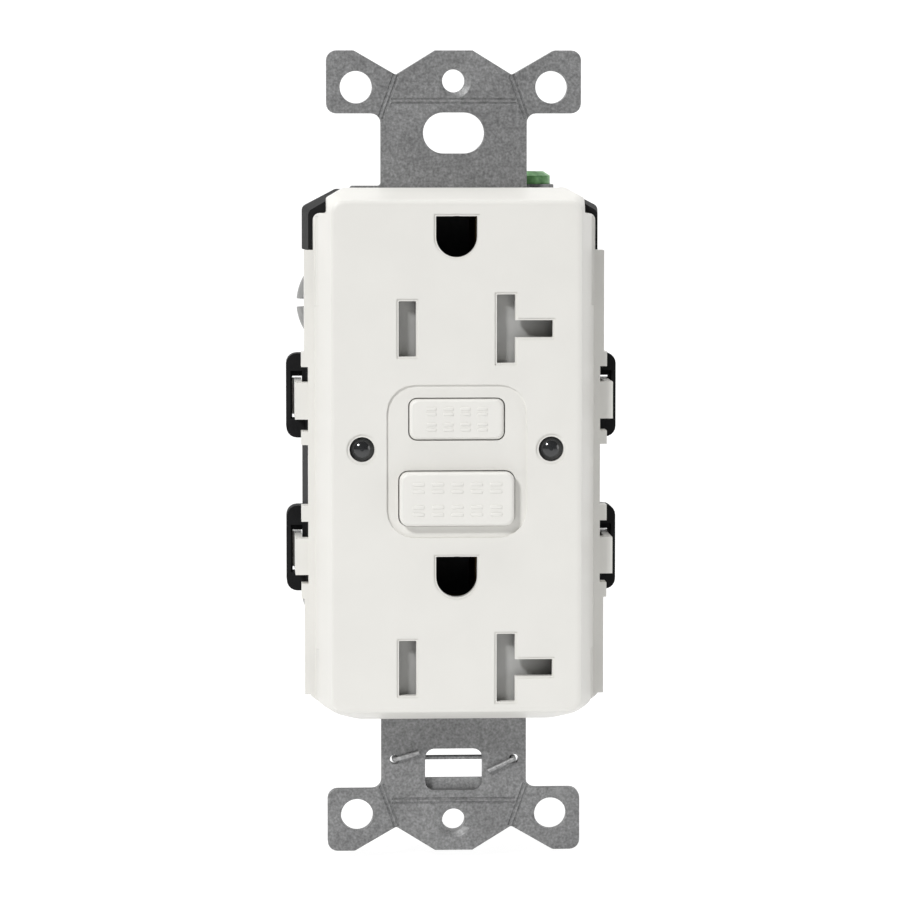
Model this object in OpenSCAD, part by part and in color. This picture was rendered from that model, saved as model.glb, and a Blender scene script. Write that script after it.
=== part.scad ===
// Ground-fault receptacle, duplex, 20 A pattern, on a yoke strap.
// Row frame: +X right, +Z up, front faces -Y. Origin: midway between the box screw slots, on the strap's back.

/* [Strap] */
// Overall length of the strap
strap_len = 104.7; // [100:0.1:108]
// Strap thickness
strap_t = 1.5; // [1:0.1:2]
// Half width of the strap's neck
neck_half = 9.5; // [8:0.1:11]
// Distance between the two cover plate screw holes
plate_pitch = 96.84; // [90:0.01:100]
// Distance between the two box screw slots
box_pitch = 83.34; // [80:0.01:90]
// Radius of a cover plate screw hole
plate_hole_r = 1.5; // [1.2:0.05:2]

/* [Cover] */
// Width of the raised face
face_w = 33; // [30:0.1:35]
// Height of the raised face
face_h = 66.8; // [64:0.1:68]
// How far the face stands in front of the strap's back
face_y = 9; // [7:0.1:12]
// Wall thickness of the cover
cover_t = 1.5; // [1:0.1:2.5]

/* [Receptacles] */
// Height of the upper ground hole's centre
ground_up = 28.55; // [26:0.05:30]
// Height of the upper blade slots' centre
blade_up = 16.7; // [15:0.05:19]
// Distance between the two receptacles
pitch = 43.9; // [40:0.1:46]
// Distance of a blade slot from the centre line
blade_x = 6.35; // [6:0.01:7]

/* [Buttons] */
// Height of the test button's centre
test_z = 5.06; // [4:0.01:6]
// Height of the reset button's centre
reset_z = -5.3; // [-7:0.1:-4]
// How far the reset button stands out of the face
reset_proud = 1.3; // [0.5:0.1:2]

/* [Housing] */
// Half width of the housing's front part
house_half = 19.6; // [18:0.1:21]
// Depth of the housing behind the strap's back
house_d = 26.5; // [22:0.1:32]
// Wall thickness of the housing
house_t = 1.4; // [1:0.1:2]

/* [Terminals] */
// Height of the upper terminal screws
term_z = 19.1; // [16:0.1:21]
// Depth of the terminal screws behind the strap's back
term_y = 13; // [11:0.1:15]
// Radius of a terminal screw's head
head_r = 3.95; // [3:0.05:5]
// Radius of a terminal screw's shank
shank_r = 2; // [1.5:0.05:2.5]

/* [Hidden] */
$fn = 40;
e = 0.02;
st = strap_t;
fy = -face_y;
iy = fy + cover_t;
low = -pitch;
led_x = 12.2;
led_z = 1.05;
tabs = [[4.55, 9.35], [-15.75, -11]];
boss = [[15.9, 28.6], [-15.9, 28.6], [15.9, -31.4], [-15.9, -31.4]];

function unit(v) = v / norm(v);
function sweep_deg(d) = d > 180 ? d - 360 : d < -180 ? d + 360 : d;
function corner(a, b, c, r, n) =
  let(u = unit(a - b), w = unit(c - b), h = acos(u * w) / 2)
  let(p = b + u * r / tan(h), q = b + w * r / tan(h), o = b + unit(u + w) * r / sin(h))
  let(s = atan2(p[1] - o[1], p[0] - o[0]), f = atan2(q[1] - o[1], q[0] - o[0]))
  [for (i = [0:n]) o + r * [cos(s + sweep_deg(f - s) * i / n), sin(s + sweep_deg(f - s) * i / n)]];
function xy(p) = [p[0], p[1]];
function soft(pts, n = 4) =
  let(k = len(pts))
  [for (i = [0:k - 1]) each pts[i][2] > 0
    ? corner(xy(pts[(i + k - 1) % k]), xy(pts[i]), xy(pts[(i + 1) % k]), pts[i][2], n)
    : [xy(pts[i])]];
function mirror_x(pts) = [for (i = [len(pts) - 1:-1:0]) [-pts[i][0], pts[i][1], pts[i][2]]];

module slab(y0, y1) {
  translate([0, y1, 0]) rotate([90, 0, 0]) linear_extrude(height = y1 - y0) children();
}
module rr(w, h, r, n = 5) {
  polygon(soft([[-w / 2, -h / 2, r], [w / 2, -h / 2, r], [w / 2, h / 2, r], [-w / 2, h / 2, r]], n));
}
module at(x, z) {
  translate([x, 0, z]) children();
}
module box(x0, x1, y0, y1, z0, z1) {
  translate([x0, y0, z0]) cube([x1 - x0, y1 - y0, z1 - z0]);
}
module ycyl(x, z, y0, y1, r, r2 = -1) {
  translate([x, y0, z]) rotate([-90, 0, 0]) cylinder(h = y1 - y0, r1 = r, r2 = r2 < 0 ? r : r2);
}
module xcyl(y, z, x0, x1, r, r2 = -1) {
  translate([x0, y, z]) rotate([0, 90, 0]) cylinder(h = x1 - x0, r1 = r, r2 = r2 < 0 ? r : r2);
}
module zcyl(x, y, z0, z1, r, r2 = -1) {
  translate([x, y, z0]) cylinder(h = z1 - z0, r1 = r, r2 = r2 < 0 ? r : r2);
}
module helix(r, w, h, turns) {
  per = 12;
  k = per * turns;
  side = 6;
  pts = [for (i = [0:k]) for (j = [0:side - 1])
    let(a = 360 * i / per, b = 360 * j / side, q = r + w * cos(b))
    [q * cos(a), q * sin(a), w + (h - 2 * w) * i / k + w * sin(b)]];
  walls = [for (i = [0:k - 1]) for (j = [0:side - 1])
    let(a = i * side + j, b = i * side + (j + 1) % side)
    [a, b, b + side, a + side]];
  polyhedron(points = pts, faces = concat(
    walls,
    [[for (j = [side - 1:-1:0]) j]],
    [[for (j = [0:side - 1]) k * side + j]]
  ), convexity = 10);
}

// Openings of the two receptacles, drawn in X and Z
module ground_2d(g = 0) {
  rr_pts = [[-2.66 - g, 2.62 + g, 0.12], [-2.66 - g, -0.1, 0], [2.66 + g, -0.1, 0], [2.66 + g, 2.62 + g, 0.12]];
  polygon(soft(rr_pts, 3));
  circle(r = 2.66 + g);
}
module hot_2d(g = 0) {
  rr(2.25 + 2 * g, 7.15 + 2 * g, 0.12 + g / 2, 3);
}
module tee_2d(g = 0) {
  polygon(soft([
    [-1.18 - g, -4.42 - g, 0.12], [1.2 + g, -4.42 - g, 0.12], [1.2 + g, -1.12 - g, 0],
    [6.05 + g, -1.12 - g, 0.12], [6.05 + g, 1.1 + g, 0.12], [1.2 + g, 1.1 + g, 0],
    [1.2 + g, 4.42 + g, 0.12], [-1.18 - g, 4.42 + g, 0.12]
  ], 3));
}
module outlet_cuts(y0, y1, g, grow) {
  for (d = [0, low]) {
    u = d - (grow > 0 ? 0.12 : 0);
    at(0, ground_up + u) slab(y0, y1) ground_2d(g);
    at(-blade_x, blade_up + u) slab(y0, y1) hot_2d(g);
    at(blade_x, blade_up + u) slab(y0, y1) tee_2d(g);
    if (grow > 0) {
      at(0, ground_up + u) slab(fy - 1, fy + 0.2) ground_2d(grow);
      at(-blade_x, blade_up + u) slab(fy - 1, fy + 0.2) hot_2d(grow);
      at(blade_x, blade_up + u) slab(fy - 1, fy + 0.2) tee_2d(grow);
    }
  }
}

function cover_half() = [
  [14.4, 34.6, 0.4], [16.6, 33.3, 0.4], [16.6, 31.3, 0.3], [18.3, 31.3, 0.9], [18.3, 26.5, 0],
  [19, 26.5, 0.3], [19, -31.6, 1.6], [12.6, -34.6, 3.5]
];
module cover_outline() {
  polygon(soft(concat(cover_half(), mirror_x(cover_half())), 5));
}
module cover_shell() {
  intersection() {
    hull() {
      slab(fy, fy + 0.02) rr(face_w - 1.9, face_h - 1.9, 1.2);
      slab(fy + 0.3, fy + 0.32) rr(face_w - 0.7, face_h - 0.7, 1.6);
      slab(fy + 0.95, fy + 0.97) rr(face_w - 0.1, face_h - 0.1, 1.8);
      slab(fy + 3.4, fy + 3.5) rr(face_w + 0.1, face_h + 0.1, 1.8);
      slab(-3.4, -3.2) rr(36.3, 69.4, 1.5);
    }
    slab(fy - 1, 0) cover_outline();
  }
  slab(-3.3, -0.1) cover_outline();
}
module cover_side() {
  // ribs on the skirt
  box(18.8, 19.5, -3.2, -0.1, 11.4, 26.5);
  box(18.8, 19.5, -3.2, -0.1, -31.4, -18.8);
  for (z = [[11.4, 13.3], [1.25, 3], [-8.75, -6.7], [-18.8, -16.9]]) box(18.8, 19.9, -3.2, -0.1, z[0], z[1]);
  // snap tabs
  for (t = tabs) {
    box(18.6, 20.7, -2.9, -0.6, t[0], t[1]);
    box(19.75, 20.7, -2.9, 9.6, t[0], t[1]);
    translate([20.65, 0, t[0]]) linear_extrude(height = t[1] - t[0])
      polygon([[0, 8.2], [0.75, 8.3], [0, 9.6]]);
  }
}
module front_cover() {
  color([0.89, 0.88, 0.86])
  difference() {
    union() {
      difference() {
        cover_shell();
        slab(iy, -3.9) rr(31.4, 64.6, 1);
        difference() {
          slab(-4, 0.1) polygon(soft([
            [13.6, 33.2, 0.5], [15, 32.3, 0.5], [15, 30.2, 0], [16.9, 30.2, 0.5], [17.5, 25.4, 0.3],
            [17.5, -30.9, 1], [12.2, -33.2, 2], [-12.2, -33.2, 2], [-17.5, -30.9, 1],
            [-17.5, 25.4, 0.3], [-16.9, 30.2, 0.5], [-15, 30.2, 0], [-15, 32.3, 0.5], [-13.6, 33.2, 0.5]
          ]));
          for (b = boss) ycyl(b[0], b[1], -4.6, 0.2, 1.9);
        }
      }
      cover_side();
      mirror([1, 0, 0]) cover_side();
      // guides around the two buttons
      for (b = [[test_z, 7.1, 15.4], [reset_z, 8.9, 17.2]]) at(0, b[0]) slab(iy - 0.1, -5.9) difference() {
        rr(b[2] + 1.6, b[1] + 1.6 + 0.4, 1);
        rr(b[2], b[1] + 0.4, 0.8);
      }
    }
    outlet_cuts(fy - 0.5, iy + 0.4, 0, 0.3);
    // recessed panel around the buttons
    at(0, -0.5) slab(fy - 1, fy + 0.3) rr(18.1, 19.8, 3.6);
    at(0, test_z - 0.12) slab(fy - 1, iy + 0.3) rr(12.5, 5.55, 1.1);
    at(0, reset_z) slab(fy - 1, iy + 0.3) rr(15.1, 7.25, 1.3);
    for (s = [-1, 1]) {
      ycyl(s * led_x, led_z, fy - 1, iy + 0.3, 1.62);
      ycyl(s * led_x, led_z, fy - 0.1, fy + 0.2, 2);
    }
    // shallow fields on the sloped sides
    for (m = [0, 1], z = [[19.4, 31], [-33, -25.3]]) mirror([m, 0, 0])
      translate([0, 0, z[0]]) linear_extrude(height = z[1] - z[0])
        polygon([[17.2, -5.5], [18.3, -3.6], [17.94, -3.66], [17.57, -4.1], [16.95, -5.2]]);
    for (b = boss) ycyl(b[0], b[1], -3.9, 0.5, 1.02);
    // way out for the strap
    box(-13.8, 13.8, -1.6, 0.5, 30, 36);
    box(-9.8, 9.8, -1.6, 0.5, -36, -30);
  }
}

function strap_top(zs) = [
  [2.45, 52.35, 0], [7.55, 49.2, 0.4], [13, 52.35, 0.8], [16.55, 52.35, 1.3], [16.55, 44.2, 1.3],
  [9.5, 44.2, 1.2], [9.5, zs, 0.4], [13.5, zs, 0.3], [13.5, 26.2, 0], [15.2, 26.2, 0.4],
  [15.2, -28.9, 0.4], [13.5, -28.9, 0], [13.5, -32.9, 0.4], [9.5, -32.9, 0.4], [9.5, -44.2, 1.2],
  [16.55, -44.2, 1.3], [16.55, -52.35, 1.3], [13, -52.35, 0.8], [7.55, -49.2, 0.4], [2.45, -52.35, 0]
];
module score(x0, z0, x1, z1) {
  len = norm([x1 - x0, z1 - z0]);
  translate([x0, -st, z0]) rotate([0, -atan2(z1 - z0, x1 - x0), 0]) for (o = [-0.27, 0.27])
    translate([0, 0, o]) rotate([45, 0, 0]) translate([0, -0.14, -0.14]) cube([len, 0.28, 0.28]);
}
module mounting_strap() {
  color([0.6, 0.6, 0.6])
  difference() {
    union() {
      slab(-st, 0) polygon(soft(concat(strap_top(34.3), mirror_x(strap_top(34.85))), 5));
      for (s = [-1, 1]) ycyl(0, s * plate_pitch / 2, -0.1, 1.1, 2.3, 2.1);
    }
    for (s = [-1, 1]) {
      ycyl(0, s * plate_pitch / 2, -3, 3, plate_hole_r);
      ycyl(0, s * plate_pitch / 2, -st - 0.3, -st + 0.45, 2.9, 1.4);
      for (x = [-12.7, 12.7]) ycyl(x, s * 47.6, -3, 3, 2.1);
      // score lines that let the ears break off
      for (m = [-1, 1]) score(m * 7.5, s * 49.2, m * 9.5, s * 43.6);
      score(-8.1, s * 45.8, 8.1, s * 45.8);
    }
    // box screw slots
    for (x = [-1.35, 1.35]) ycyl(x, box_pitch / 2, -3, 3, 2.65);
    box(-1.35, 1.35, -3, 3, box_pitch / 2 - 2.65, box_pitch / 2 + 2.65);
    at(0, -box_pitch / 2) slab(-3, 3) rr(7.5, 5.5, 1.2);
    // holes for the wire clip
    for (x = [-7.8, 7.9]) ycyl(x, -40.3, -3, 3, 0.6);
    // windows for blades, ground pins and the buttons
    for (d = [0, low]) {
      box(-9.3, 8.9, -3, 3, blade_up + d - 5.2, blade_up + d + 5.4);
      box(8.8, 13.4, -3, 3, blade_up + d - 1.7, blade_up + d + 1.7);
      at(0, ground_up + d) slab(-3, 3) rr(7, 7, 1.5);
      ycyl(0, 23.75 + d, -3, 3, 0.85);
    }
    at(0, -0.4) slab(-3, 3) rr(19, 19.6, 1);
    for (s = [-1, 1]) ycyl(s * led_x, led_z, -3, 3, 1.5);
  }
}

function house_half_pts(w, z1, cx, cz) = [[cx, z1, 0.6], [w, cz, 0.8], [w, -cz, 0.8], [cx, -z1, 0.6]];
module house_outline(w, z1, cx, cz) {
  h = house_half_pts(w, z1, cx, cz);
  polygon(soft(concat(h, mirror_x(h)), 3));
}
module loop_block(z0, z1, t) {
  difference() {
    slab(4.6, 8) polygon(soft([[19, z0, 0], [21.75, z0, 1.4], [21.75, z1, 1.4], [19, z1, 0]], 5));
    box(19.65, 20.95, 0, 10, t[0] - 0.4, t[1] + 0.4);
    box(19.65, 21.2, 0, 5.4, t[0] - 0.4, t[1] + 1.1);
  }
}
module wire_block(z) {
  difference() {
    box(12.9, 18.3, 18.9, house_d - 0.01, z - 6.4, z + 6.4);
    for (d = [-4.1, 4.1]) ycyl(15.85, z + d, 17, 30, 1.2);
  }
}
module house_side() {
  loop_block(1.65, 12.75, tabs[0]);
  loop_block(-18.6, -7.35, tabs[1]);
  for (z = [term_z, -term_z]) {
    wire_block(z);
    // barriers beside each terminal
    for (d = [-7.3, 6.4]) box(15.6, 18.7, 8.4, house_d - 1.2, z + d, z + d + 0.9);
  }
}
module rear_housing() {
  color([0.12, 0.12, 0.13])
  difference() {
    union() {
      difference() {
        union() {
          hull() {
            slab(0.1, 0.2) house_outline(house_half - 0.7, 33.9, 14.8, 31.5);
            slab(8.3, 8.5) house_outline(house_half, 34.3, 15.2, 32);
          }
          slab(8.4, house_d) house_outline(16.9, 33, 14.4, 31);
        }
        slab(-1, 7.1) house_outline(house_half - house_t, 34 - house_t, 14.6, 30.2);
        slab(7, house_d - 1.5) house_outline(16.9 - house_t, 33 - house_t, 13.8, 30.4);
        // narrower beside the terminals
        for (s = [-1, 1], z = [[12.7, 26.4], [-36, -18.7]])
          box(s > 0 ? 18.85 : -21, s > 0 ? 21 : -18.85, -1, 8.7, z[0], z[1]);
        // side windows at the terminals
        for (s = [-1, 1]) for (z = [term_z, -term_z])
          box(s > 0 ? 12 : -20, s > 0 ? 20 : -12, 8.5, 18.9, z - 5.6, z + 5.6);
      }
      house_side();
      mirror([1, 0, 0]) house_side();
      for (b = boss) {
        ycyl(b[0], b[1], 0.1, 8.4, 1.95);
        ycyl(b[0], b[1], 8.3, house_d, 2.55);
      }
    }
    for (b = boss) {
      ycyl(b[0], b[1], -1, 30, 1.3);
      ycyl(b[0], b[1], house_d - 2.2, 30, 2.2);
    }
    // seat of the ground terminal in the upper end
    box(4.6, 14.4, -0.1, 10.6, 31.4, 35);
    box(-9.7, 9.7, -1, 0.45, 31, 36);
    // marks of the wire strip gauge on the back
    box(-6, 6, house_d - 0.4, 30, -0.4, 0.4);
    box(-6.4, -6, house_d - 0.4, 30, -2, 2);
    box(6, 6.4, house_d - 0.4, 30, -2, 2);
  }
}

module middle_housing() {
  color([0.16, 0.17, 0.19])
  difference() {
    union() {
      slab(7.6, 8.6) rr(30, 63, 2);
      box(-15, -13.9, 0.4, 7.7, -26, 24);
      box(14.7, 15.4, 0.4, 7.7, -26, 24);
      box(-14, 14.8, 1, 7.7, 9.9, 10.8);
      box(-9, 9, 1, 7.7, -11.6, -10.7);
      ycyl(0, test_z, 0.6, 7.7, 2.5);
      ycyl(0, reset_z, 0.6, 7.7, 3.7);
      for (x = [-10, 10]) ycyl(x, 4.8, 8.5, 11, 1.2);
    }
    ycyl(0, test_z, -1, 4.8, 1.2);
    box(-5.2, 5.2, 3.6, 7.4, test_z - 1.1, test_z + 1.1);
    ycyl(0, reset_z, -1, 10, 1.45);
    for (s = [-1, 1]) ycyl(s * led_x, led_z, 0, 10, 1.45);
    // openings for the face contacts' bars
    box(-10.9, -9.5, 0.9, 7.5, 9.5, 11.2);
    box(13.3, 14.6, 0.9, 7.5, 9.5, 11.2);
    box(-10.8, -9.6, 7, 9, -7.8, -3.2);
    box(13.4, 14.6, 7, 9, -7.8, -3.2);
    for (b = boss) ycyl(b[0], b[1], 7, 9, 2.75);
    // corners cut for the ground terminal and the terminal plates
    box(4.4, 20, 7, 9, 30.9, 34);
    for (s = [-1, 1]) for (z = [term_z, -term_z])
      box(s > 0 ? 12.6 : -20, s > 0 ? 20 : -12.6, 8.55, 9, z - 6, z + 6);
  }
}

module button_cap(w, h, r, y) {
  hull() {
    slab(y, y + 0.02) rr(w - 1, h - 1, r - 0.3);
    slab(y + 0.14, y + 0.16) rr(w - 0.4, h - 0.4, r);
    slab(y + 0.45, y + 0.47) rr(w, h, r);
    slab(iy - 0.1, iy + 0.1) rr(w, h, r);
  }
}
module test_button() {
  color([0.9, 0.89, 0.87]) {
    at(0, test_z) {
      translate([0, 0, -0.12]) button_cap(12.22, 5.27, 0.96, fy - 0.1);
      slab(iy, iy + 0.9) rr(14.6, 6.7, 0.8);
      ycyl(0, 0, iy + 0.8, 2.2, 0.9);
    }
  }
}
module test_spring() {
  color([0.75, 0.75, 0.76]) at(0, test_z) translate([0, iy + 0.95, 0]) rotate([-90, 0, 0]) helix(1.75, 0.2, 6.9, 6);
}
module test_contact() {
  color([0.8, 0.6, 0.3]) {
    box(-5, 5, 3.7, 4, test_z - 0.9, test_z + 0.9);
    box(4.6, 5, 3.9, 7.3, test_z - 0.9, test_z + 0.9);
    ycyl(0, test_z, 3.5, 3.75, 0.7);
  }
}
module reset_button() {
  color([0.9, 0.89, 0.87]) at(0, reset_z) {
    button_cap(14.82, 6.97, 1.16, fy - reset_proud);
    slab(iy, iy + 0.9) rr(16.6, 8.5, 0.8);
    difference() {
      ycyl(0, 0, iy + 0.8, -2.6, 1.9);
      ycyl(0, 0, iy + 1.4, 0, 1.06);
    }
  }
}
module reset_pin() {
  color([0.7, 0.7, 0.72]) at(0, reset_z) {
    ycyl(0, 0, iy + 1.45, 11.3, 1.05);
    ycyl(0, 0, 11.2, 12.6, 0.7);
    ycyl(0, 0, 12.5, 13.7, 1.2);
    ycyl(0, 0, 13.6, 14.6, 1.2, 0.5);
  }
}
module reset_spring() {
  color([0.75, 0.75, 0.76]) at(0, reset_z) translate([0, iy + 0.95, 0]) rotate([-90, 0, 0]) helix(2.75, 0.25, 6.9, 5);
}
module status_lens(s) {
  at(s * led_x, led_z) {
    ycyl(0, 0, iy - 0.6, iy + 0.5, 1.55);
    ycyl(0, 0, iy + 0.35, iy + 1.1, 2.1);
    ycyl(0, 0, iy + 1, 19, 1.1);
    translate([0, iy - 0.6, 0]) rotate([90, 0, 0]) difference() {
      translate([0, 0, -0.95]) sphere(r = 1.82);
      translate([0, 0, -5]) cube([10, 10, 10], center = true);
    }
  }
}
module status_lens_left() {
  color([0.25, 0.26, 0.28]) status_lens(-1);
}
module status_lens_right() {
  color([0.25, 0.26, 0.28]) status_lens(1);
}

// The blades push a ramped slider aside; a spring in its pocket returns it
shut_z = 23.1;
module shutter(d) {
  difference() {
    union() {
      translate([0, 0, blade_up + d - 4.9]) linear_extrude(height = 9.8) polygon([
        [-7.8, iy + 0.25], [-0.3, -5.3], [2.4, -5.3], [2.4, iy + 0.3],
        [5, iy + 0.25], [12.5, -5.3], [12.5, -4.45], [-7.8, -4.45]
      ]);
      box(-7.8, 7.4, iy + 0.6, -4.45, blade_up + d + 4.8, blade_up + d + 8.2);
    }
    box(-0.3, 2.4, -10, 0, blade_up + d - 4, blade_up + d + 4);
    box(-6.2, 5.2, -6.5, 0, shut_z + d - 1.15, shut_z + d + 1.15);
  }
}
module shutter_upper() {
  color([0.5, 0.5, 0.49]) shutter(0);
}
module shutter_lower() {
  color([0.5, 0.5, 0.49]) shutter(low);
}
module shutter_spring(d) {
  translate([-5, -5.6, shut_z + d]) rotate([0, 90, 0]) helix(0.72, 0.13, 10.1, 8);
}
module shutter_spring_upper() {
  color([0.75, 0.75, 0.76]) shutter_spring(0);
}
module shutter_spring_lower() {
  color([0.75, 0.75, 0.76]) shutter_spring(low);
}
module shutter_guide(d) {
  difference() {
    union() {
      box(-15.2, 15.2, -4.2, -3.2, blade_up + d - 5, blade_up + d + 8.6);
      box(-5.9, -5.1, -6.2, -4, shut_z + d - 0.8, shut_z + d + 0.8);
      for (x = [-14.6, 13.4]) for (z = [-1.5, 7.3]) box(x, x + 1.2, -3.3, -st, blade_up + d + z, blade_up + d + z + 1.1);
    }
    for (b = boss) ycyl(b[0], b[1], -7, 0, 2.2);
    at(-blade_x, blade_up + d) slab(-6, 0) hot_2d(0.35);
    at(blade_x, blade_up + d) slab(-6, 0) tee_2d(0.35);
  }
}
module shutter_guide_upper() {
  color([0.7, 0.7, 0.68]) shutter_guide(0);
}
module shutter_guide_lower() {
  color([0.7, 0.7, 0.68]) shutter_guide(low);
}

module ground_contact(d) {
  difference() {
    union() {
      box(-3.4, 3.4, 0.05, 0.65, 22.5 + d, 26.2 + d);
      for (s = [-1, 1]) translate([0, 0, ground_up - 2.6 + d]) linear_extrude(height = 5.2) polygon([
        [s * 2.85, 0.05], [s * 3.4, 0.05], [s * 2.95, 5.4], [s * 3.35, 7.2], [s * 2.85, 7.2], [s * 2.4, 5.4]
      ]);
    }
    ycyl(0, 23.75 + d, -3, 3, 0.85);
    box(-2.7, 2.7, -1, 3, 25.2 + d, 27 + d);
  }
}
module ground_contact_upper() {
  color([0.8, 0.65, 0.32]) ground_contact(0);
}
module ground_contact_lower() {
  color([0.8, 0.65, 0.32]) ground_contact(low);
}
module ground_rivets() {
  color([0.72, 0.7, 0.62]) for (d = [0, low]) {
    ycyl(0, 23.75 + d, -2, -st, 1.3);
    ycyl(0, 23.75 + d, -st - e, 0.7, 0.84);
    ycyl(0, 23.75 + d, 0.66, 1.2, 1.3);
  }
}

module hot_face_contacts() {
  color([0.82, 0.64, 0.3]) {
    box(-10.6, -9.8, 1.2, 7.3, -30.6, 20.3);
    for (d = [0, low]) {
      box(-10.6, -4.95, 6.7, 7.3, 13.1 + d, 20.3 + d);
      for (x = [-7.75, -5.55]) box(x, x + 0.6, 1.2, 6.8, 13.1 + d, 20.3 + d);
    }
    box(-10.6, -9.8, 7.2, 13.1, -7.6, -3.4);
    box(-10.6, -6.2, 12.5, 13.1, -7.6, -3.4);
  }
}
module neutral_face_contacts() {
  color([0.78, 0.72, 0.55])
  difference() {
    union() {
      box(13.6, 14.4, 1.2, 7.3, -29, 20.5);
      for (d = [0, low]) {
        box(4.95, 14.4, 6.7, 7.3, 12.9 + d, 20.5 + d);
        box(4.95, 5.55, 1.2, 6.8, 12.9 + d, 20.5 + d);
        for (z = [12.9, 18.2]) box(7.15, 7.75, 1.2, 6.8, z + d, z + 2.3 + d);
        for (z = [15.2, 17.6]) box(7.9, 12.7, 1.2, 6.8, z + d, z + 0.6 + d);
      }
      box(13.6, 14.4, 7.2, 9.8, -7.6, -3.4);
      box(9.8, 14.4, 9.2, 9.8, -7.6, -3.4);
      box(9.8, 10.6, 9.2, 13.1, -7.6, -3.4);
      box(6.2, 10.6, 12.5, 13.1, -7.6, -3.4);
    }
    for (b = boss) ycyl(b[0], b[1], 0, 9, 2.3);
  }
}

// Latch and contact carrier: the pin lifts it, the plunger frees it
module contact_carrier() {
  color([0.2, 0.35, 0.55])
  difference() {
    union() {
      box(-3.6, 3.6, 10.6, 17.4, -8.6, -2);
      box(-9.2, 9.2, 15.7, 17.4, -7.2, -3.4);
    }
    ycyl(0, reset_z, 9, 20, 1.5);
    box(-2.9, 2.9, 12.65, 13.6, -12, 2);
    for (s = [-1, 1]) ycyl(s * 7, -5.3, 17, 20, 1.3);
  }
}
module carrier_springs() {
  color([0.75, 0.75, 0.76])
  for (s = [-1, 1]) translate([s * 7, 17.05, -5.3]) rotate([-90, 0, 0]) helix(0.85, 0.14, 3.3, 4);
}
module latch_plate() {
  color([0.7, 0.7, 0.72])
  difference() {
    box(-2.6, 2.6, 12.85, 13.4, -12.6, -1.4);
    ycyl(0, reset_z, 10, 16, 1.45);
    ycyl(0, reset_z - 1.4, 10, 16, 1.45);
    box(-1.45, 1.45, 10, 16, reset_z - 1.4, reset_z);
  }
}
module contact_arm(s) {
  x0 = s > 0 ? 6.5 : -9.3;
  box(x0, x0 + 2.8, 14.95, 15.35, -6.9, 8.2);
  xcyl(15.15, 8.2, x0, x0 + 2.8, 0.34);
  ycyl(s * 7.9, -5.6, 14.3, 15, 1.1);
}
module contact_arm_hot() {
  color([0.82, 0.55, 0.32]) contact_arm(-1);
}
module contact_arm_neutral() {
  color([0.82, 0.55, 0.32]) contact_arm(1);
}
module fixed_contacts() {
  color([0.85, 0.85, 0.84]) for (s = [-1, 1]) ycyl(s * 7.9, -5.6, 13.1, 14.2, 1.1);
}

sy = 13.2;
module solenoid_frame() {
  color([0.62, 0.62, 0.64])
  difference() {
    union() {
      box(-4.6, 4.6, sy - 4.4, sy + 4.4, -15.4, -14.4);
      box(-4.6, 4.6, sy - 4.4, sy + 4.4, -28.6, -27.6);
      for (s = [-1, 1]) box(s > 0 ? 4.6 : -5.4, s > 0 ? 5.4 : -4.6, sy - 3, sy + 3, -28.6, -14.4);
    }
    zcyl(0, sy, -40, 0, 1.8);
  }
}
module solenoid_bobbin() {
  color([0.92, 0.92, 0.88])
  difference() {
    union() {
      zcyl(0, sy, -27.5, -15.5, 2.3);
      zcyl(0, sy, -27.5, -26.6, 4.3);
      zcyl(0, sy, -16.4, -15.5, 4.3);
    }
    zcyl(0, sy, -40, 0, 1.7);
  }
}
module solenoid_winding() {
  color([0.72, 0.35, 0.16])
  difference() {
    zcyl(0, sy, -26.55, -16.45, 3.95);
    zcyl(0, sy, -40, 0, 2.35);
  }
}
module solenoid_plunger() {
  color([0.66, 0.66, 0.68]) {
    zcyl(0, sy, -26, -14.6, 1.5);
    zcyl(0, sy, -14.7, -13, 0.9);
    zcyl(0, sy, -30.8, -25.9, 0.8);
    zcyl(0, sy, -31.4, -30.7, 1.5);
  }
}
module plunger_spring() {
  color([0.75, 0.75, 0.76]) translate([0, sy, -30.65]) helix(1.15, 0.14, 2, 2);
}

tz = 18;
module coil_ring(y0, y1, ro, ri) {
  difference() {
    ycyl(0, tz, y0, y1, ro);
    ycyl(0, tz, y0 - 1, y1 + 1, ri);
  }
}
module coil_housing() {
  color([0.85, 0.85, 0.8]) {
    coil_ring(9.9, 10.7, 8, 2.9);
    coil_ring(18.1, 18.9, 8, 2.9);
    coil_ring(10.6, 18.2, 8, 7.4);
    coil_ring(10.6, 18.2, 3.5, 2.9);
  }
}
module sensing_core() {
  color([0.7, 0.38, 0.18]) coil_ring(10.8, 14.2, 7.2, 3.7);
}
module neutral_core() {
  color([0.25, 0.42, 0.3]) coil_ring(14.5, 18, 7.2, 3.7);
}
module conductor(s) {
  x = s > 0 ? 0.7 : -1.6;
  box(x, x + 0.9, 9.2, 19.6, tz - 1, tz + 1);
  box(s > 0 ? 0.7 : -13.5, s > 0 ? 13.5 : -0.7, 9.15, 9.75, tz - 1, tz + 1);
  box(s > 0 ? 0.7 : -8.8, s > 0 ? 8.8 : -0.7, 19.1, 19.6, tz - 1, tz + 1);
  box(s > 0 ? 7 : -8.8, s > 0 ? 8.8 : -7, 19.1, 19.6, 8.2, tz + 1);
  box(s > 0 ? 7 : -8.8, s > 0 ? 8.8 : -7, 15.6, 19.6, 7.8, 8.5);
}
module line_conductors() {
  color([0.8, 0.5, 0.3]) {
    conductor(-1);
    conductor(1);
  }
}

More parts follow.
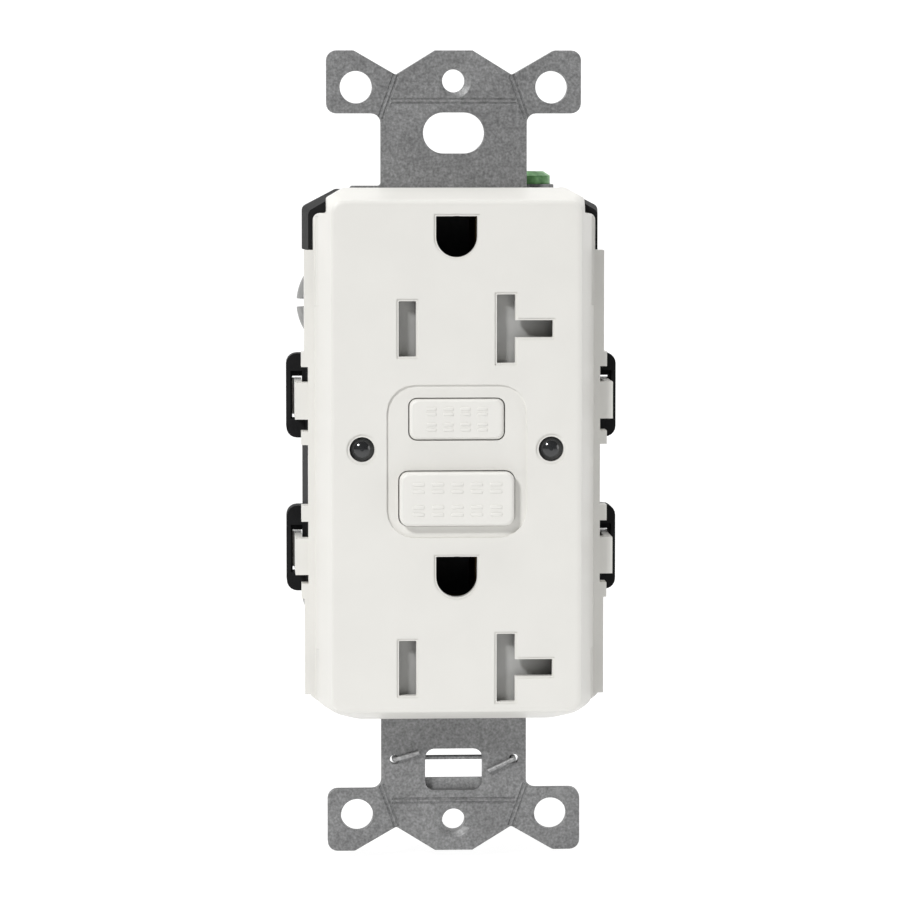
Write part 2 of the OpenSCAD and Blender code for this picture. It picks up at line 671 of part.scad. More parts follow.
module circuit_board() {
  color([0.1, 0.4, 0.22])
  difference() {
    slab(20.4, 22) polygon(soft([
      [12.4, 30, 1], [12.4, 9, 0], [14.2, 8, 0.5], [14.2, -8, 0.5], [12.4, -9, 0], [12.4, -30, 1],
      [-12.4, -30, 1], [-12.4, -9, 0], [-14.2, -8, 0.5], [-14.2, 8, 0.5], [-12.4, 9, 0], [-12.4, 30, 1]
    ], 3));
    for (s = [-1, 1]) {
      ycyl(s * 10.4, 27.8, 18, 24, 1.1);
      ycyl(s * 10.4, -28, 18, 24, 1.1);
    }
    ycyl(0, reset_z, 18, 24, 1.6);
  }
}
module lead(x, z, y0, r) {
  ycyl(x, z, y0, 20.38, r);
  ycyl(x, z, 22.02, 22.6, r + 0.25, r * 0.6);
}
module capacitor() {
  color([0.2, 0.22, 0.5]) {
    ycyl(8.05, -21.5, 9.6, 19.2, 2.5);
    for (z = [-1.2, 1.2]) lead(8.05, -21.5 + z, 19.1, 0.3);
  }
}
module varistor() {
  color([0.72, 0.42, 0.12]) {
    xcyl(14.6, -20.5, -9.3, -5.7, 4.7);
    for (z = [-2.5, 2.5]) lead(-7.5, -20.5 + z, 17.6, 0.35);
  }
}
module thyristor() {
  color([0.13, 0.13, 0.14]) {
    box(6.6, 11.2, 13, 17.4, -14.2, -10.8);
    for (x = [7.6, 8.9, 10.2]) lead(x, -12.5, 17.3, 0.25);
  }
}
module control_chip() {
  color([0.14, 0.14, 0.15]) {
    box(-2.6, 2.6, 22.2, 23.7, 3, 8.4);
    for (z = [3.7, 5, 6.3, 7.6]) box(-3.8, 3.8, 22, 22.3, z - 0.2, z + 0.2);
  }
}
module resistors() {
  color([0.75, 0.65, 0.45]) for (p = [[-9, 24], [-5, 24.4], [9, -2], [-9, -1]]) {
    zcyl(p[0], 23.1, p[1], p[1] + 5, 0.95);
    box(p[0] - 0.25, p[0] + 0.25, 22, 23.3, p[1] - 0.5, p[1]);
    box(p[0] - 0.25, p[0] + 0.25, 22, 23.3, p[1] + 5, p[1] + 5.5);
  }
}
module diodes() {
  color([0.12, 0.12, 0.12]) for (p = [[3, 24], [7, 24], [-8, -16], [4, -16]]) {
    zcyl(p[0], 23.1, p[1], p[1] + 4.2, 0.9);
    box(p[0] - 0.25, p[0] + 0.25, 22, 23.3, p[1] - 0.5, p[1]);
    box(p[0] - 0.25, p[0] + 0.25, 22, 23.3, p[1] + 4.2, p[1] + 4.7);
  }
}
module status_leds() {
  color([0.5, 0.85, 0.5]) for (s = [-1, 1]) box(s * led_x - 1, s * led_x + 1, 19.2, 20.4, led_z - 1.1, led_z + 1.1);
}

// Screw terminals: each screw pulls a clamp plate towards a fixed plate
module terminal_plates() {
  color([0.82, 0.66, 0.34]) for (s = [-1, 1]) for (z = [term_z, -term_z]) difference() {
    union() {
      box(s > 0 ? 13.5 : -14.7, s > 0 ? 14.7 : -13.5, 8.62, 18.88, z - 5.4, z + 5.4);
    }
    xcyl(term_y, z, -20, 20, shank_r + 0.08);
  }
}
module clamp_plate(s, z, out) {
  x = out - 3.45;
  mirror([s < 0 ? 1 : 0, 0, 0]) difference() {
    union() {
      box(x, x + 1.2, 9.5, 17.4, z - 4.9, z + 4.9);
      for (d = [-4.9, 4.3]) box(x - 0.5, x + 0.1, 9.5, 17.4, z + d, z + d + 0.6);
    }
    xcyl(term_y, z, 0, 30, shank_r + 0.08);
  }
}
head_cap = (pow(head_r, 2) + pow(1.22, 2)) / 2.44;
module terminal_screw(s, z, out) {
  mirror([s < 0 ? 1 : 0, 0, 0]) {
    difference() {
      union() {
        xcyl(term_y, z, out - 2.1, out - 1.2, head_r);
        translate([out - 1.22, term_y, z]) rotate([0, 90, 0]) rotate_extrude() intersection() {
          translate([0, -head_cap + 1.22]) circle(r = head_cap, $fn = 96);
          square([head_r, 1.22]);
        }
      }
      translate([out, term_y, z]) rotate([-4, 0, 0]) cube([2.7, 9, 1.15], center = true);
    }
    xcyl(term_y, z, out - 8, out - 2, shank_r);
  }
}
out_u = 20.25;
out_l = 19.7;
module clamp_upper_left() {
  color([0.8, 0.64, 0.32]) clamp_plate(-1, term_z, out_u);
}
module clamp_upper_right() {
  color([0.8, 0.64, 0.32]) clamp_plate(1, term_z, out_u);
}
module clamp_lower_left() {
  color([0.8, 0.64, 0.32]) clamp_plate(-1, -term_z, out_l);
}
module clamp_lower_right() {
  color([0.8, 0.64, 0.32]) clamp_plate(1, -term_z, out_l);
}
module screw_upper_left() {
  color([0.7, 0.7, 0.69]) terminal_screw(-1, term_z, out_u);
}
module screw_upper_right() {
  color([0.7, 0.7, 0.69]) terminal_screw(1, term_z, out_u);
}
module screw_lower_left() {
  color([0.7, 0.7, 0.69]) terminal_screw(-1, -term_z, out_l);
}
module screw_lower_right() {
  color([0.7, 0.7, 0.69]) terminal_screw(1, -term_z, out_l);
}

gx = 9.5;
gy = 5;
module ground_bracket() {
  color([0.62, 0.62, 0.63])
  difference() {
    union() {
      box(5, 13.2, 0.05, 9.8, 33, 34.2);
      box(6.4, 12.6, 0.05, 1.15, 27, 33.1);
    }
    zcyl(gx, gy, 20, 40, 2.08);
  }
}
module ground_pressure_plate() {
  color([0.66, 0.66, 0.66])
  difference() {
    box(5.4, 13.2, 1.4, 9.2, 34.28, 34.98);
    zcyl(gx, gy, 20, 40, 2.08);
  }
}
module ground_screw() {
  color([0.16, 0.55, 0.3])
  difference() {
    union() {
      zcyl(gx, gy, 35, 36.1, 3.5);
      zcyl(gx, gy, 36.08, 36.65, 3.5, 2.6);
      zcyl(gx, gy, 27.5, 35.1, 2);
    }
    translate([gx, gy, 36.6]) rotate([0, 0, 35]) cube([9, 1.1, 1.7], center = true);
    translate([gx, gy, 36.6]) rotate([0, 0, 125]) cube([4, 1.1, 1.7], center = true);
  }
}

module wire_seg(a, b, r) {
  v = b - a;
  translate(a) rotate([0, acos(v[2] / norm(v)), atan2(v[1], v[0])]) cylinder(h = norm(v), r = r, $fn = 24);
}
module clip_wire_and_retainer() {
  color([0.66, 0.65, 0.62]) {
    wire_seg([-7.8, 0.32, -40.3], [7.9, 0.32, -40.3], 0.3);
    wire_seg([-7.8, 0.32, -40.3], [-7.8, -1.82, -40.3], 0.3);
    wire_seg([7.9, 0.32, -40.3], [7.9, -1.82, -40.3], 0.3);
    wire_seg([-7.8, -1.82, -40.3], [-4.5, -1.82, -39.4], 0.3);
    wire_seg([7.9, -1.82, -40.3], [4.5, -1.82, -41.9], 0.3);
    for (p = [[-7.8, 0.32, -40.3], [7.9, 0.32, -40.3], [-7.8, -1.82, -40.3], [7.9, -1.82, -40.3]])
      translate(p) sphere(r = 0.3, $fn = 24);
    box(-6.6, 6.6, 0.03, 0.83, -46.2, -43);
  }
}
module assembly_screws() {
  color([0.6, 0.6, 0.6]) for (b = boss) difference() {
    union() {
      ycyl(b[0], b[1], -3.6, house_d - 2.15, 1);
      ycyl(b[0], b[1], house_d - 2.2, house_d - 0.6, 2.1);
    }
    translate([b[0], house_d - 0.6, b[1]]) cube([0.7, 1.6, 2.6], center = true);
    translate([b[0], house_d - 0.6, b[1]]) cube([2.6, 1.6, 0.7], center = true);
  }
}

front_cover();
mounting_strap();
rear_housing();
middle_housing();
test_button();
test_spring();
test_contact();
reset_button();
reset_pin();
reset_spring();
status_lens_left();
status_lens_right();
shutter_upper();
shutter_lower();
shutter_spring_upper();
shutter_spring_lower();
shutter_guide_upper();
shutter_guide_lower();
ground_contact_upper();
ground_contact_lower();
ground_rivets();
hot_face_contacts();
neutral_face_contacts();
contact_carrier();
carrier_springs();
latch_plate();
contact_arm_hot();
contact_arm_neutral();
fixed_contacts();
solenoid_frame();
solenoid_bobbin();
solenoid_winding();
solenoid_plunger();
plunger_spring();
coil_housing();
sensing_core();
neutral_core();
line_conductors();
circuit_board();
capacitor();
varistor();
thyristor();
control_chip();
resistors();
diodes();
status_leds();
terminal_plates();
clamp_upper_left();
clamp_upper_right();
clamp_lower_left();
clamp_lower_right();
screw_upper_left();
screw_upper_right();
screw_lower_left();
screw_lower_right();
ground_bracket();
ground_pressure_plate();
ground_screw();
clip_wire_and_retainer();
assembly_screws();
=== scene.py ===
import math

import bmesh
import bpy
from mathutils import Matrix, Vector


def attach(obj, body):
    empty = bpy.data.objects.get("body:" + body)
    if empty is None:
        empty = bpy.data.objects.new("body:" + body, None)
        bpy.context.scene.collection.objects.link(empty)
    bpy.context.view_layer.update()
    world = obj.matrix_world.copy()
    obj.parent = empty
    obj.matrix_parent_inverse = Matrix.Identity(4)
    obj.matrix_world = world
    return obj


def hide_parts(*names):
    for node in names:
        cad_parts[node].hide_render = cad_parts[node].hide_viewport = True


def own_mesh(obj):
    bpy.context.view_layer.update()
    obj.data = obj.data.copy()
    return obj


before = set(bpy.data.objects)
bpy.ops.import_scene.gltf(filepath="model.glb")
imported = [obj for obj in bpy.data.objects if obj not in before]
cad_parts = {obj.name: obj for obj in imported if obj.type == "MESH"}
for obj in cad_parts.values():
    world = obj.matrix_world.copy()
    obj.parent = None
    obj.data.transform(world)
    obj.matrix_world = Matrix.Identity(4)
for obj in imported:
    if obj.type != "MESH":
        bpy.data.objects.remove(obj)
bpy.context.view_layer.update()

MM = 0.001


# ---------------------------------------------------------------- materials
def node_mat(name, base, rough=0.5, metal=0.0, vary=0.04, scale=300.0, bump=0.0, bump_scale=None,
             rough_vary=0.06, spec=0.5, coat=0.0, coat_rough=0.1, detail=4.0, stretch=None, second=None):
    """A Principled material whose colour, roughness and bump come from noise in object space."""
    m = bpy.data.materials.new(name)
    m.use_nodes = True
    nt = m.node_tree
    b = nt.nodes["Principled BSDF"]
    b.inputs["Metallic"].default_value = metal
    b.inputs["Specular IOR Level"].default_value = spec
    b.inputs["Coat Weight"].default_value = coat
    b.inputs["Coat Roughness"].default_value = coat_rough
    co = nt.nodes.new("ShaderNodeTexCoord")
    src = co.outputs["Object"]
    if stretch:
        mp = nt.nodes.new("ShaderNodeMapping")
        mp.inputs["Scale"].default_value = stretch
        nt.links.new(src, mp.inputs["Vector"])
        src = mp.outputs["Vector"]
    n = nt.nodes.new("ShaderNodeTexNoise")
    n.inputs["Scale"].default_value = scale
    n.inputs["Detail"].default_value = detail
    nt.links.new(src, n.inputs["Vector"])
    ramp = nt.nodes.new("ShaderNodeValToRGB")
    lo = tuple(max(0.0, c * (1 - vary)) for c in base)
    hi = second or tuple(min(1.0, c * (1 + vary)) for c in base)
    ramp.color_ramp.elements[0].position = 0.32
    ramp.color_ramp.elements[1].position = 0.68
    ramp.color_ramp.elements[0].color = (*lo, 1)
    ramp.color_ramp.elements[1].color = (*hi, 1)
    nt.links.new(n.outputs["Fac"], ramp.inputs["Fac"])
    nt.links.new(ramp.outputs["Color"], b.inputs["Base Color"])
    mr = nt.nodes.new("ShaderNodeMapRange")
    mr.inputs["To Min"].default_value = max(0.02, rough - rough_vary)
    mr.inputs["To Max"].default_value = min(1.0, rough + rough_vary)
    nt.links.new(n.outputs["Fac"], mr.inputs["Value"])
    nt.links.new(mr.outputs["Result"], b.inputs["Roughness"])
    if bump:
        f = nt.nodes.new("ShaderNodeTexNoise")
        f.inputs["Scale"].default_value = bump_scale or scale * 6
        f.inputs["Detail"].default_value = 3
        nt.links.new(src, f.inputs["Vector"])
        bp = nt.nodes.new("ShaderNodeBump")
        bp.inputs["Strength"].default_value = 1.0
        bp.inputs["Distance"].default_value = bump
        nt.links.new(f.outputs["Fac"], bp.inputs["Height"])
        nt.links.new(bp.outputs["Normal"], b.inputs["Normal"])
    return m


def galvanised(name, tone=1.0, round_edge=0.00016):
    """Zinc-coated steel: fine grey speckle over soft mottling, with rounded edge normals and a painted edge
    highlight that makes the edges brighter.
    """
    c = 0.215 * tone
    m = node_mat(name, (c, c * 1.005, c * 1.01), rough=0.5, metal=0.4, vary=0.16, scale=1500,
                 rough_vary=0.12, detail=8)
    nt = m.node_tree
    b = nt.nodes["Principled BSDF"]
    co = nt.nodes["Texture Coordinate"]
    ramp = nt.nodes["Color Ramp"]

    def noise(scale, detail, lo, hi, a=0.3, z=0.7):
        n = nt.nodes.new("ShaderNodeTexNoise")
        n.inputs["Scale"].default_value = scale
        n.inputs["Detail"].default_value = detail
        nt.links.new(co.outputs["Object"], n.inputs["Vector"])
        r = nt.nodes.new("ShaderNodeMapRange")
        r.inputs["From Min"].default_value = a
        r.inputs["From Max"].default_value = z
        r.inputs["To Min"].default_value = lo
        r.inputs["To Max"].default_value = hi
        nt.links.new(n.outputs["Fac"], r.inputs["Value"])
        return r.outputs["Result"], n.outputs["Fac"]

    def mul(x, y):
        k = nt.nodes.new("ShaderNodeMath")
        k.operation = "MULTIPLY"
        nt.links.new(x, k.inputs[0])
        nt.links.new(y, k.inputs[1])
        return k.outputs["Value"]

    fine, grain = noise(3200, 3, 0.72, 1.32)
    soft, _ = noise(170, 2, 0.9, 1.1)
    # painted edge highlight: where the rounded normal leaves the true one, the base colour is painted
    # brighter
    bv = nt.nodes.new("ShaderNodeBevel")
    bv.samples = 6
    bv.inputs["Radius"].default_value = round_edge
    geo = nt.nodes.new("ShaderNodeNewGeometry")
    dot = nt.nodes.new("ShaderNodeVectorMath")
    dot.operation = "DOT_PRODUCT"
    nt.links.new(bv.outputs["Normal"], dot.inputs[0])
    nt.links.new(geo.outputs["Normal"], dot.inputs[1])
    edge_highlight = nt.nodes.new("ShaderNodeMapRange")
    edge_highlight.inputs["From Min"].default_value = 0.99
    edge_highlight.inputs["From Max"].default_value = 0.8
    edge_highlight.inputs["To Min"].default_value = 1.0
    edge_highlight.inputs["To Max"].default_value = 1.3
    nt.links.new(dot.outputs["Value"], edge_highlight.inputs["Value"])
    sc = nt.nodes.new("ShaderNodeVectorMath")
    sc.operation = "SCALE"
    nt.links.new(ramp.outputs["Color"], sc.inputs[0])
    nt.links.new(mul(mul(fine, soft), edge_highlight.outputs["Result"]), sc.inputs["Scale"])
    nt.links.new(sc.outputs["Vector"], b.inputs["Base Color"])
    bp = nt.nodes.new("ShaderNodeBump")
    bp.inputs["Strength"].default_value = 1.0
    bp.inputs["Distance"].default_value = 0.00003
    nt.links.new(grain, bp.inputs["Height"])
    nt.links.new(bv.outputs["Normal"], bp.inputs["Normal"])
    nt.links.new(bp.outputs["Normal"], b.inputs["Normal"])
    return m


COVER = node_mat("cover_ivory", (0.74, 0.73, 0.695), rough=0.42, vary=0.012, scale=160, bump=0.000004,
                 bump_scale=5200, rough_vary=0.05, spec=0.4)
KEY = node_mat("key_ivory", (0.76, 0.75, 0.715), rough=0.38, vary=0.01, scale=200, bump=0.000004,
               bump_scale=5200, rough_vary=0.05, spec=0.4)
BLACK = node_mat("housing_black", (0.015, 0.015, 0.0155), rough=0.6, vary=0.1, scale=1400, bump=0.000012,
                 bump_scale=3600, rough_vary=0.1, spec=0.05)
INNER = node_mat("inner_grey", (0.05, 0.052, 0.058), rough=0.55, vary=0.15, scale=300, bump=0.00001)
STRAP = galvanised("strap_zinc")
SEAT = galvanised("seat_zinc", 1.35, 0.0001)
SHUT = node_mat("shutter_grey", (0.43, 0.43, 0.42), rough=0.55, vary=0.04, scale=500, bump=0.000006,
                bump_scale=4000)
SPRING = node_mat("spring_wire", (0.5, 0.5, 0.5), rough=0.3, metal=1.0, vary=0.1, scale=900)
STEEL = node_mat("plain_steel", (0.42, 0.42, 0.42), rough=0.38, metal=1.0, vary=0.12, scale=700,
                 bump=0.000006)
TERM = node_mat("terminal_steel", (0.27, 0.27, 0.265), rough=0.4, metal=0.75, vary=0.2, scale=900,
                bump=0.00002)
GREEN = node_mat("ground_green", (0.095, 0.31, 0.085), rough=0.4, metal=0.2, vary=0.35, scale=900,
                 bump=0.00001, second=(0.22, 0.5, 0.19))
# ground contacts: brass painted near black, painted shade standing in for the dark of the deep ground hole
PAINTED_SHADE_BRASS = node_mat("brass_painted_shade", (0.1, 0.062, 0.025), rough=0.5, metal=0.8, vary=0.25, scale=500, bump=0.00001)
BRASS = node_mat("stamped_brass", (0.58, 0.42, 0.19), rough=0.32, metal=1.0, vary=0.12, scale=500,
                 bump=0.000006)
COPPER = node_mat("contact_copper", (0.62, 0.3, 0.16), rough=0.34, metal=1.0, vary=0.14, scale=500,
                  bump=0.000006)
SILVER = node_mat("silver_tip", (0.72, 0.71, 0.69), rough=0.3, metal=1.0, vary=0.08, scale=800)
LENS = node_mat("smoked_lens", (0.02, 0.021, 0.022), rough=0.14, vary=0.2, scale=400, rough_vary=0.03,
                spec=0.6, coat=0.35, coat_rough=0.08)
CARRIER = node_mat("carrier_blue", (0.03, 0.09, 0.2), rough=0.5, vary=0.12, scale=400, bump=0.00001)
COIL_FORM = node_mat("coil_form", (0.6, 0.58, 0.5), rough=0.5, vary=0.05, scale=400, bump=0.000008)
BOARD = node_mat("solder_mask", (0.01, 0.11, 0.04), rough=0.3, vary=0.2, scale=500, coat=0.3,
                 coat_rough=0.2)
DARK = node_mat("epoxy_dark", (0.02, 0.02, 0.022), rough=0.55, vary=0.2, scale=600, bump=0.00001)
TAN = node_mat("dipped_tan", (0.4, 0.16, 0.03), rough=0.35, vary=0.15, scale=500, bump=0.00001, coat=0.3)
LED = node_mat("led_clear", (0.3, 0.55, 0.32), rough=0.15, vary=0.08, scale=600)
GUIDE = node_mat("guide_grey", (0.34, 0.34, 0.33), rough=0.55, vary=0.05, scale=500, bump=0.000008)

NODES_OF = [
    (COVER, ["front_cover"]),
    (KEY, ["test_button", "reset_button"]),
    (BLACK, ["rear_housing"]),
    (INNER, ["middle_housing"]),
    (STRAP, ["mounting_strap"]),
    (SEAT, ["ground_bracket", "ground_pressure_plate", "clip_wire_and_retainer"]),
    (SPRING, ["test_spring", "reset_spring", "shutter_spring_upper", "shutter_spring_lower",
              "carrier_springs", "plunger_spring"]),
    (STEEL, ["latch_plate", "reset_pin", "solenoid_plunger", "solenoid_frame", "assembly_screws"]),
    (LENS, ["status_lens_left", "status_lens_right"]),
    (SHUT, ["shutter_upper", "shutter_lower"]),
    (GUIDE, ["shutter_guide_upper", "shutter_guide_lower"]),
    # the ground contacts take the brass painted near black as painted shade
    (PAINTED_SHADE_BRASS, ["ground_contact_upper", "ground_contact_lower"]),
    (BRASS, ["hot_face_contacts", "neutral_face_contacts", "test_contact", "terminal_plates", "ground_rivets",
             "clamp_upper_left", "clamp_upper_right", "clamp_lower_left", "clamp_lower_right"]),
    (SILVER, ["fixed_contacts"]),
    (COPPER, ["contact_arm_hot", "contact_arm_neutral", "line_conductors", "solenoid_winding",
              "sensing_core"]),
    (TERM, ["screw_upper_left", "screw_upper_right", "screw_lower_left", "screw_lower_right"]),
    (GREEN, ["ground_screw"]),
    (CARRIER, ["contact_carrier"]),
    (COIL_FORM, ["solenoid_bobbin", "coil_housing"]),
    (BOARD, ["circuit_board"]),
    (DARK, ["thyristor", "control_chip", "diodes", "neutral_core", "capacitor"]),
    (TAN, ["resistors", "varistor"]),
    (LED, ["status_leds"]),
]
MATS = {node: mat for mat, nodes in NODES_OF for node in nodes}


# ---------------------------------------------------------------- CAD nodes
def soften(o, width, segs=2, angle=28):
    """Rounds a CAD node's edges with modifiers: its own mesh stays as packed."""
    weld = o.modifiers.new("weld", "WELD")
    weld.merge_threshold = 2e-6
    flat = o.modifiers.new("flat", "DECIMATE")
    flat.decimate_type = "DISSOLVE"
    flat.angle_limit = math.radians(0.6)
    edge = o.modifiers.new("edge", "BEVEL")
    edge.width = width
    edge.segments = segs
    edge.limit_method = "ANGLE"
    edge.angle_limit = math.radians(angle)
    shade = o.modifiers.new("shade", "WEIGHTED_NORMAL")
    shade.weight = 80
    shade.keep_sharp = True
    for p in o.data.polygons:
        p.use_smooth = True


# edge radius of each node, in mm; the nodes not named here have OTHER_EDGE
EDGE = {
    "front_cover": 0.14, "test_button": 0.12, "reset_button": 0.14, "rear_housing": 0.2,
    "screw_upper_left": 0.12, "screw_upper_right": 0.12, "screw_lower_left": 0.12, "screw_lower_right": 0.12,
    "ground_screw": 0.12, "middle_housing": 0.12,
}
# sheet steel gets its rounded edges from its material, and springs and wire need none
SKIP_EDGE = {
    "mounting_strap", "ground_bracket", "ground_pressure_plate", "clip_wire_and_retainer", "test_spring",
    "reset_spring", "shutter_spring_upper", "shutter_spring_lower", "carrier_springs", "plunger_spring",
}
OTHER_EDGE = 0.06
for name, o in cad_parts.items():
    o.data.materials.clear()
    o.data.materials.append(MATS[name])
    for p in o.data.polygons:
        p.material_index = 0
    if name not in SKIP_EDGE:
        soften(o, EDGE.get(name, OTHER_EDGE) * MM)


# ---------------------------------------------------------------- own pieces
def new_mesh(name, verts, faces, mat, body, slot_name):
    """A piece of its own on a body, from points in millimetres."""
    me = bpy.data.meshes.new(name)
    me.from_pydata([tuple(c * MM for c in v) for v in verts], [], faces)
    bm = bmesh.new()
    bm.from_mesh(me)
    bmesh.ops.recalc_face_normals(bm, faces=bm.faces)
    bm.to_mesh(me)
    bm.free()
    for p in me.polygons:
        p.use_smooth = True
    me.materials.append(mat)
    o = bpy.data.objects.new(name, me)
    bpy.context.scene.collection.objects.link(o)
    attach(o, body)
    return o


def coil(points, axis, r, wire, length, turns, closed=0.8, per=28, sides=10):
    """Compression springs, each from its point along axis 0, 1 or 2, with dead turns at both ends."""
    vs, fs = [], []
    u, v = [(1, 2), (2, 0), (0, 1)][axis]
    n = int(per * (turns + 2 * closed))
    for start in points:
        base = len(vs)
        path = []
        for i in range(n + 1):
            t = i / per
            dead = 2.1 * wire
            if t < closed:
                d = wire + dead * t / closed * 0.5
            elif t > turns + closed:
                d = length - wire - dead * (turns + 2 * closed - t) / closed * 0.5
            else:
                k = (t - closed) / turns
                d = wire + dead * 0.5 + k * (length - 2 * wire - dead)
            a = 2 * math.pi * t
            c = [0, 0, 0]
            c[axis] = start[axis] + d
            c[u] = start[u] + r * math.cos(a)
            c[v] = start[v] + r * math.sin(a)
            path.append((Vector(c), a))
        for c, a in path:
            out = Vector((0, 0, 0))
            out[u], out[v] = math.cos(a), math.sin(a)
            along = Vector((0, 0, 0))
            along[axis] = 1
            for j in range(sides):
                b = 2 * math.pi * j / sides
                vs.append(c + out * wire * math.cos(b) + along * wire * math.sin(b))
        for i in range(n):
            for j in range(sides):
                p, q = base + i * sides + j, base + i * sides + (j + 1) % sides
                fs.append((p, q, q + sides, p + sides))
        fs.append(tuple(base + j for j in range(sides)))
        fs.append(tuple(base + n * sides + j for j in range(sides)))
    return vs, fs


def spring_piece(node, points, axis, r, wire, length, turns, closed=0.8):
    """Wound springs in place of a CAD node's plain ones."""
    vs, fs = coil(points, axis, r, wire, length, turns, closed)
    o = new_mesh(node + "_wire", vs, fs, SPRING, "base", "spring_steel")
    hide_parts(node)
    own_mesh(o)


# the two key springs stand behind their keys, between these depths
TEST_Z, RESET_Z = 5.06, -5.3
SEAT_Y, KEY_BACK_Y = 0.35, -6.55
KEY_SPRING = SEAT_Y - KEY_BACK_Y
spring_piece("test_spring", [(0, KEY_BACK_Y, TEST_Z)], 1, 1.75, 0.2, KEY_SPRING, 5)
spring_piece("reset_spring", [(0, KEY_BACK_Y, RESET_Z)], 1, 2.75, 0.25, KEY_SPRING, 4)
CARRIER_X, CARRIER_BACK_Y, CARRIER_SEAT_Y = 7, 17.05, 20.35
spring_piece("carrier_springs", [(s * CARRIER_X, CARRIER_BACK_Y, RESET_Z) for s in (-1, 1)], 1, 0.85, 0.14,
             CARRIER_SEAT_Y - CARRIER_BACK_Y, 3)
PLUNGER_Y, PLUNGER_Z, PLUNGER_SPRING = 13.2, -30.65, 2
spring_piece("plunger_spring", [(0, PLUNGER_Y, PLUNGER_Z)], 2, 1.15, 0.14, PLUNGER_SPRING, 1.4,
             0.5)
for side, z in (("upper", 23.1), ("lower", -20.8)):
    seat = (-5, -5.6, z)
    spring_piece(f"shutter_spring_{side}", [seat], 0, 0.72, 0.13, 10.1, 7)


def bars(cells, y, height=0.1, inset=0.07):
    """Low tactile bars with round ends and a rounded top edge, raised from a key's face at y."""
    vs, fs = [], []
    for x, z, length, width in cells:
        r = width / 2
        h = length / 2 - r
        right = [math.pi * (i / 8 - 0.5) for i in range(9)]
        left = [math.pi * (i / 8 + 0.5) for i in range(9)]
        rim = [(x + h + r * math.cos(a), z + r * math.sin(a)) for a in right]
        rim += [(x - h + r * math.cos(a), z + r * math.sin(a)) for a in left]
        n = len(rim)
        base = len(vs)
        for dy, k in ((0.06, 0.0), (-height * 0.45, 0.0), (-height * 0.85, inset * 0.4), (-height, inset)):
            for px, pz in rim:
                hx = min(max(px, x - h), x + h)
                f = 1 - k / r
                vs.append((hx + (px - hx) * f, y + dy, z + (pz - z) * f))
        for ring in range(3):
            for j in range(n):
                a, b = base + ring * n + j, base + ring * n + (j + 1) % n
                fs.append((a, b, b + n, a + n))
        fs.append(tuple(base + 3 * n + j for j in range(n)))
        fs.append(tuple(base + j for j in range(n)))
    return vs, fs


def key_bars(body, face_y, middle_z, columns, rows, length, width):
    """Rows of bars on a key's front face, around the middle of its cap."""
    cells = [(x, middle_z + dz, length, width) for x in columns for dz in rows]
    new_mesh(f"{body}_bars", *bars(cells, face_y), KEY, body, "cover_plastic")


key_bars("test_key", -9.1, 4.94, (-3.3, -1.1, 1.1, 3.3), (-1.35, -0.65, 0.65, 1.35), 1.35, 0.4)
key_bars("reset_key", -10.3, RESET_Z, (-5, -2.5, 0, 2.5, 5), (-1.95, -1.0, 1.0, 1.95), 1.6, 0.45)


# ---------------------------------------------------------------- stage, light, camera
def area(name, pos, target, size, watts):
    """A round lamp at pos that looks at target."""
    lamp = bpy.data.lights.new(name, "AREA")
    lamp.shape = "DISK"
    lamp.size = size
    lamp.energy = watts
    o = bpy.data.objects.new(name, lamp)
    o.location = pos
    o.rotation_euler = (Vector(target) - Vector(pos)).to_track_quat("-Z", "Y").to_euler()
    bpy.context.scene.collection.objects.link(o)


FLOOR_Z, FLOOR_FRONT, WALL_TOP, HALF_WIDTH = -0.0534, -1.2, 1.6, 1.8
BEND_START, BEND_R, BEND_STEPS = 0.25, 0.25, 12


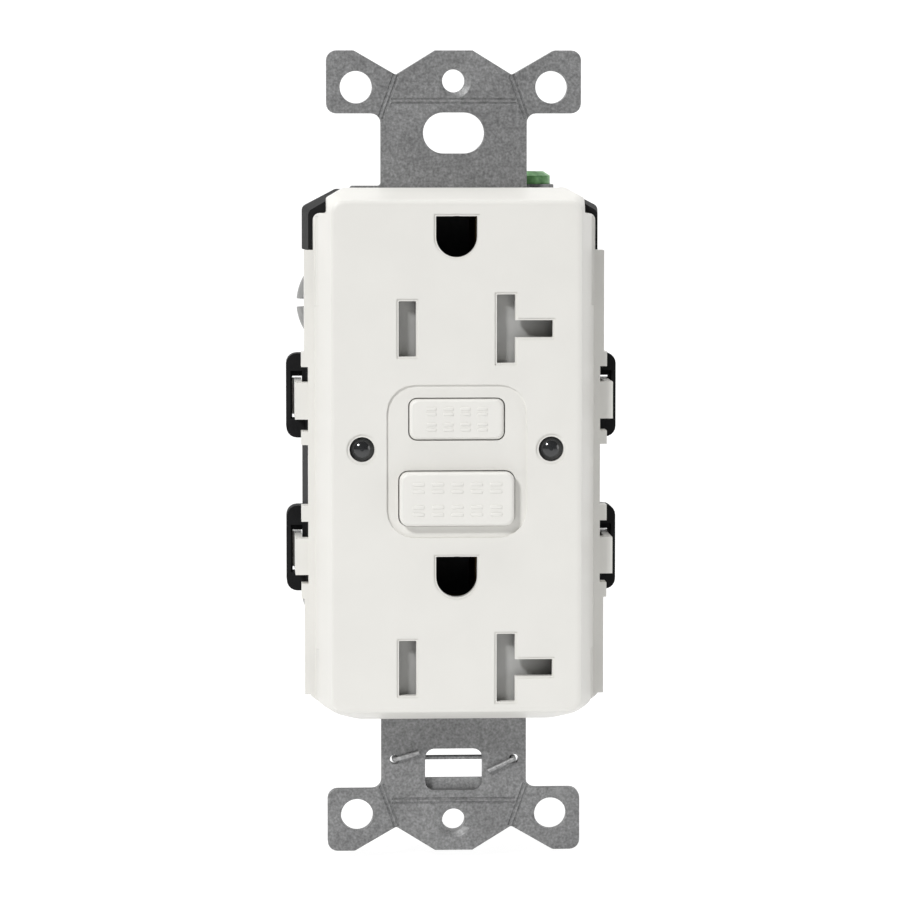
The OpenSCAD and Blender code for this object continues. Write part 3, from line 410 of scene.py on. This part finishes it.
def floor_mesh():
    """A pale sweep that glows and lights the object, its glow painted dimmer towards the front: floor under
    the strap's lower end, curving up into a wall behind.
    """
    arc = [math.pi / 2 / BEND_STEPS * i for i in range(BEND_STEPS + 1)]
    prof = [(FLOOR_FRONT, FLOOR_Z)]
    prof += [(BEND_START + BEND_R * math.sin(a), FLOOR_Z + BEND_R * (1 - math.cos(a))) for a in arc]
    prof += [(BEND_START + BEND_R, WALL_TOP)]
    me = bpy.data.meshes.new("studio_sweep")
    vs, fs = [], []
    for y, z in prof:
        vs += [(-HALF_WIDTH, y, z), (HALF_WIDTH, y, z)]
    for i in range(len(prof) - 1):
        fs.append((2 * i, 2 * i + 1, 2 * i + 3, 2 * i + 2))
    me.from_pydata(vs, [], fs)
    o = bpy.data.objects.new("studio_sweep", me)
    bpy.context.scene.collection.objects.link(o)
    for p in me.polygons:
        p.use_smooth = True
    m = node_mat("sweep_glowing_white", (0.2, 0.2, 0.2), rough=0.8, vary=0.004, scale=6, spec=0.05)
    nt = m.node_tree
    b = nt.nodes["Principled BSDF"]
    b.inputs["Emission Color"].default_value = (1, 1, 1, 1)
    sep = nt.nodes.new("ShaderNodeSeparateXYZ")
    nt.links.new(nt.nodes["Texture Coordinate"].outputs["Object"], sep.inputs["Vector"])
    # the sweep's glow lights the object; it is painted dimmer towards the front, which takes light off the
    # cover's face
    glow_falloff = nt.nodes.new("ShaderNodeMapRange")
    glow_falloff.interpolation_type = "SMOOTHSTEP"
    glow_falloff.inputs["From Min"].default_value = -0.3
    glow_falloff.inputs["From Max"].default_value = -0.045
    glow_falloff.inputs["To Min"].default_value = 0.55
    glow_falloff.inputs["To Max"].default_value = 0.92
    nt.links.new(sep.outputs["Y"], glow_falloff.inputs["Value"])
    nt.links.new(glow_falloff.outputs["Result"], b.inputs["Emission Strength"])
    me.materials.append(m)


floor_mesh()
area("key", (-0.46, -0.63, 0.54), (0, 0, 0), 0.16, 6.1)
area("top", (0.0, -0.02, 0.85), (0, 0, 0), 0.5, 3.6)
area("side", (0.7, -0.3, 0.12), (0, 0, 0), 0.4, 0.9)
world = bpy.data.worlds.new("studio")
bpy.context.scene.world = world
world.use_nodes = True
world.node_tree.nodes["Background"].inputs["Color"].default_value = (1, 1, 1, 1)
world.node_tree.nodes["Background"].inputs["Strength"].default_value = 0.1

AZ, EL, DIST = math.radians(-2.99), math.radians(4.435), 0.55
ASIDE = Vector((-0.000409, 0.000282, 0))
lens = bpy.data.cameras.new("camera")
lens.sensor_width = 36
lens.lens = 168.04
lens.clip_start = 0.01
camera = bpy.data.objects.new("camera", lens)
toward = Vector((math.sin(AZ) * math.cos(EL), -math.cos(AZ) * math.cos(EL), math.sin(EL)))
camera.location = toward * DIST
camera.rotation_euler = (-camera.location).to_track_quat("-Z", "Y").to_euler()
camera.location += camera.rotation_euler.to_matrix() @ ASIDE
bpy.context.scene.collection.objects.link(camera)
bpy.context.scene.camera = camera
bpy.context.scene.view_settings.view_transform = "Standard"
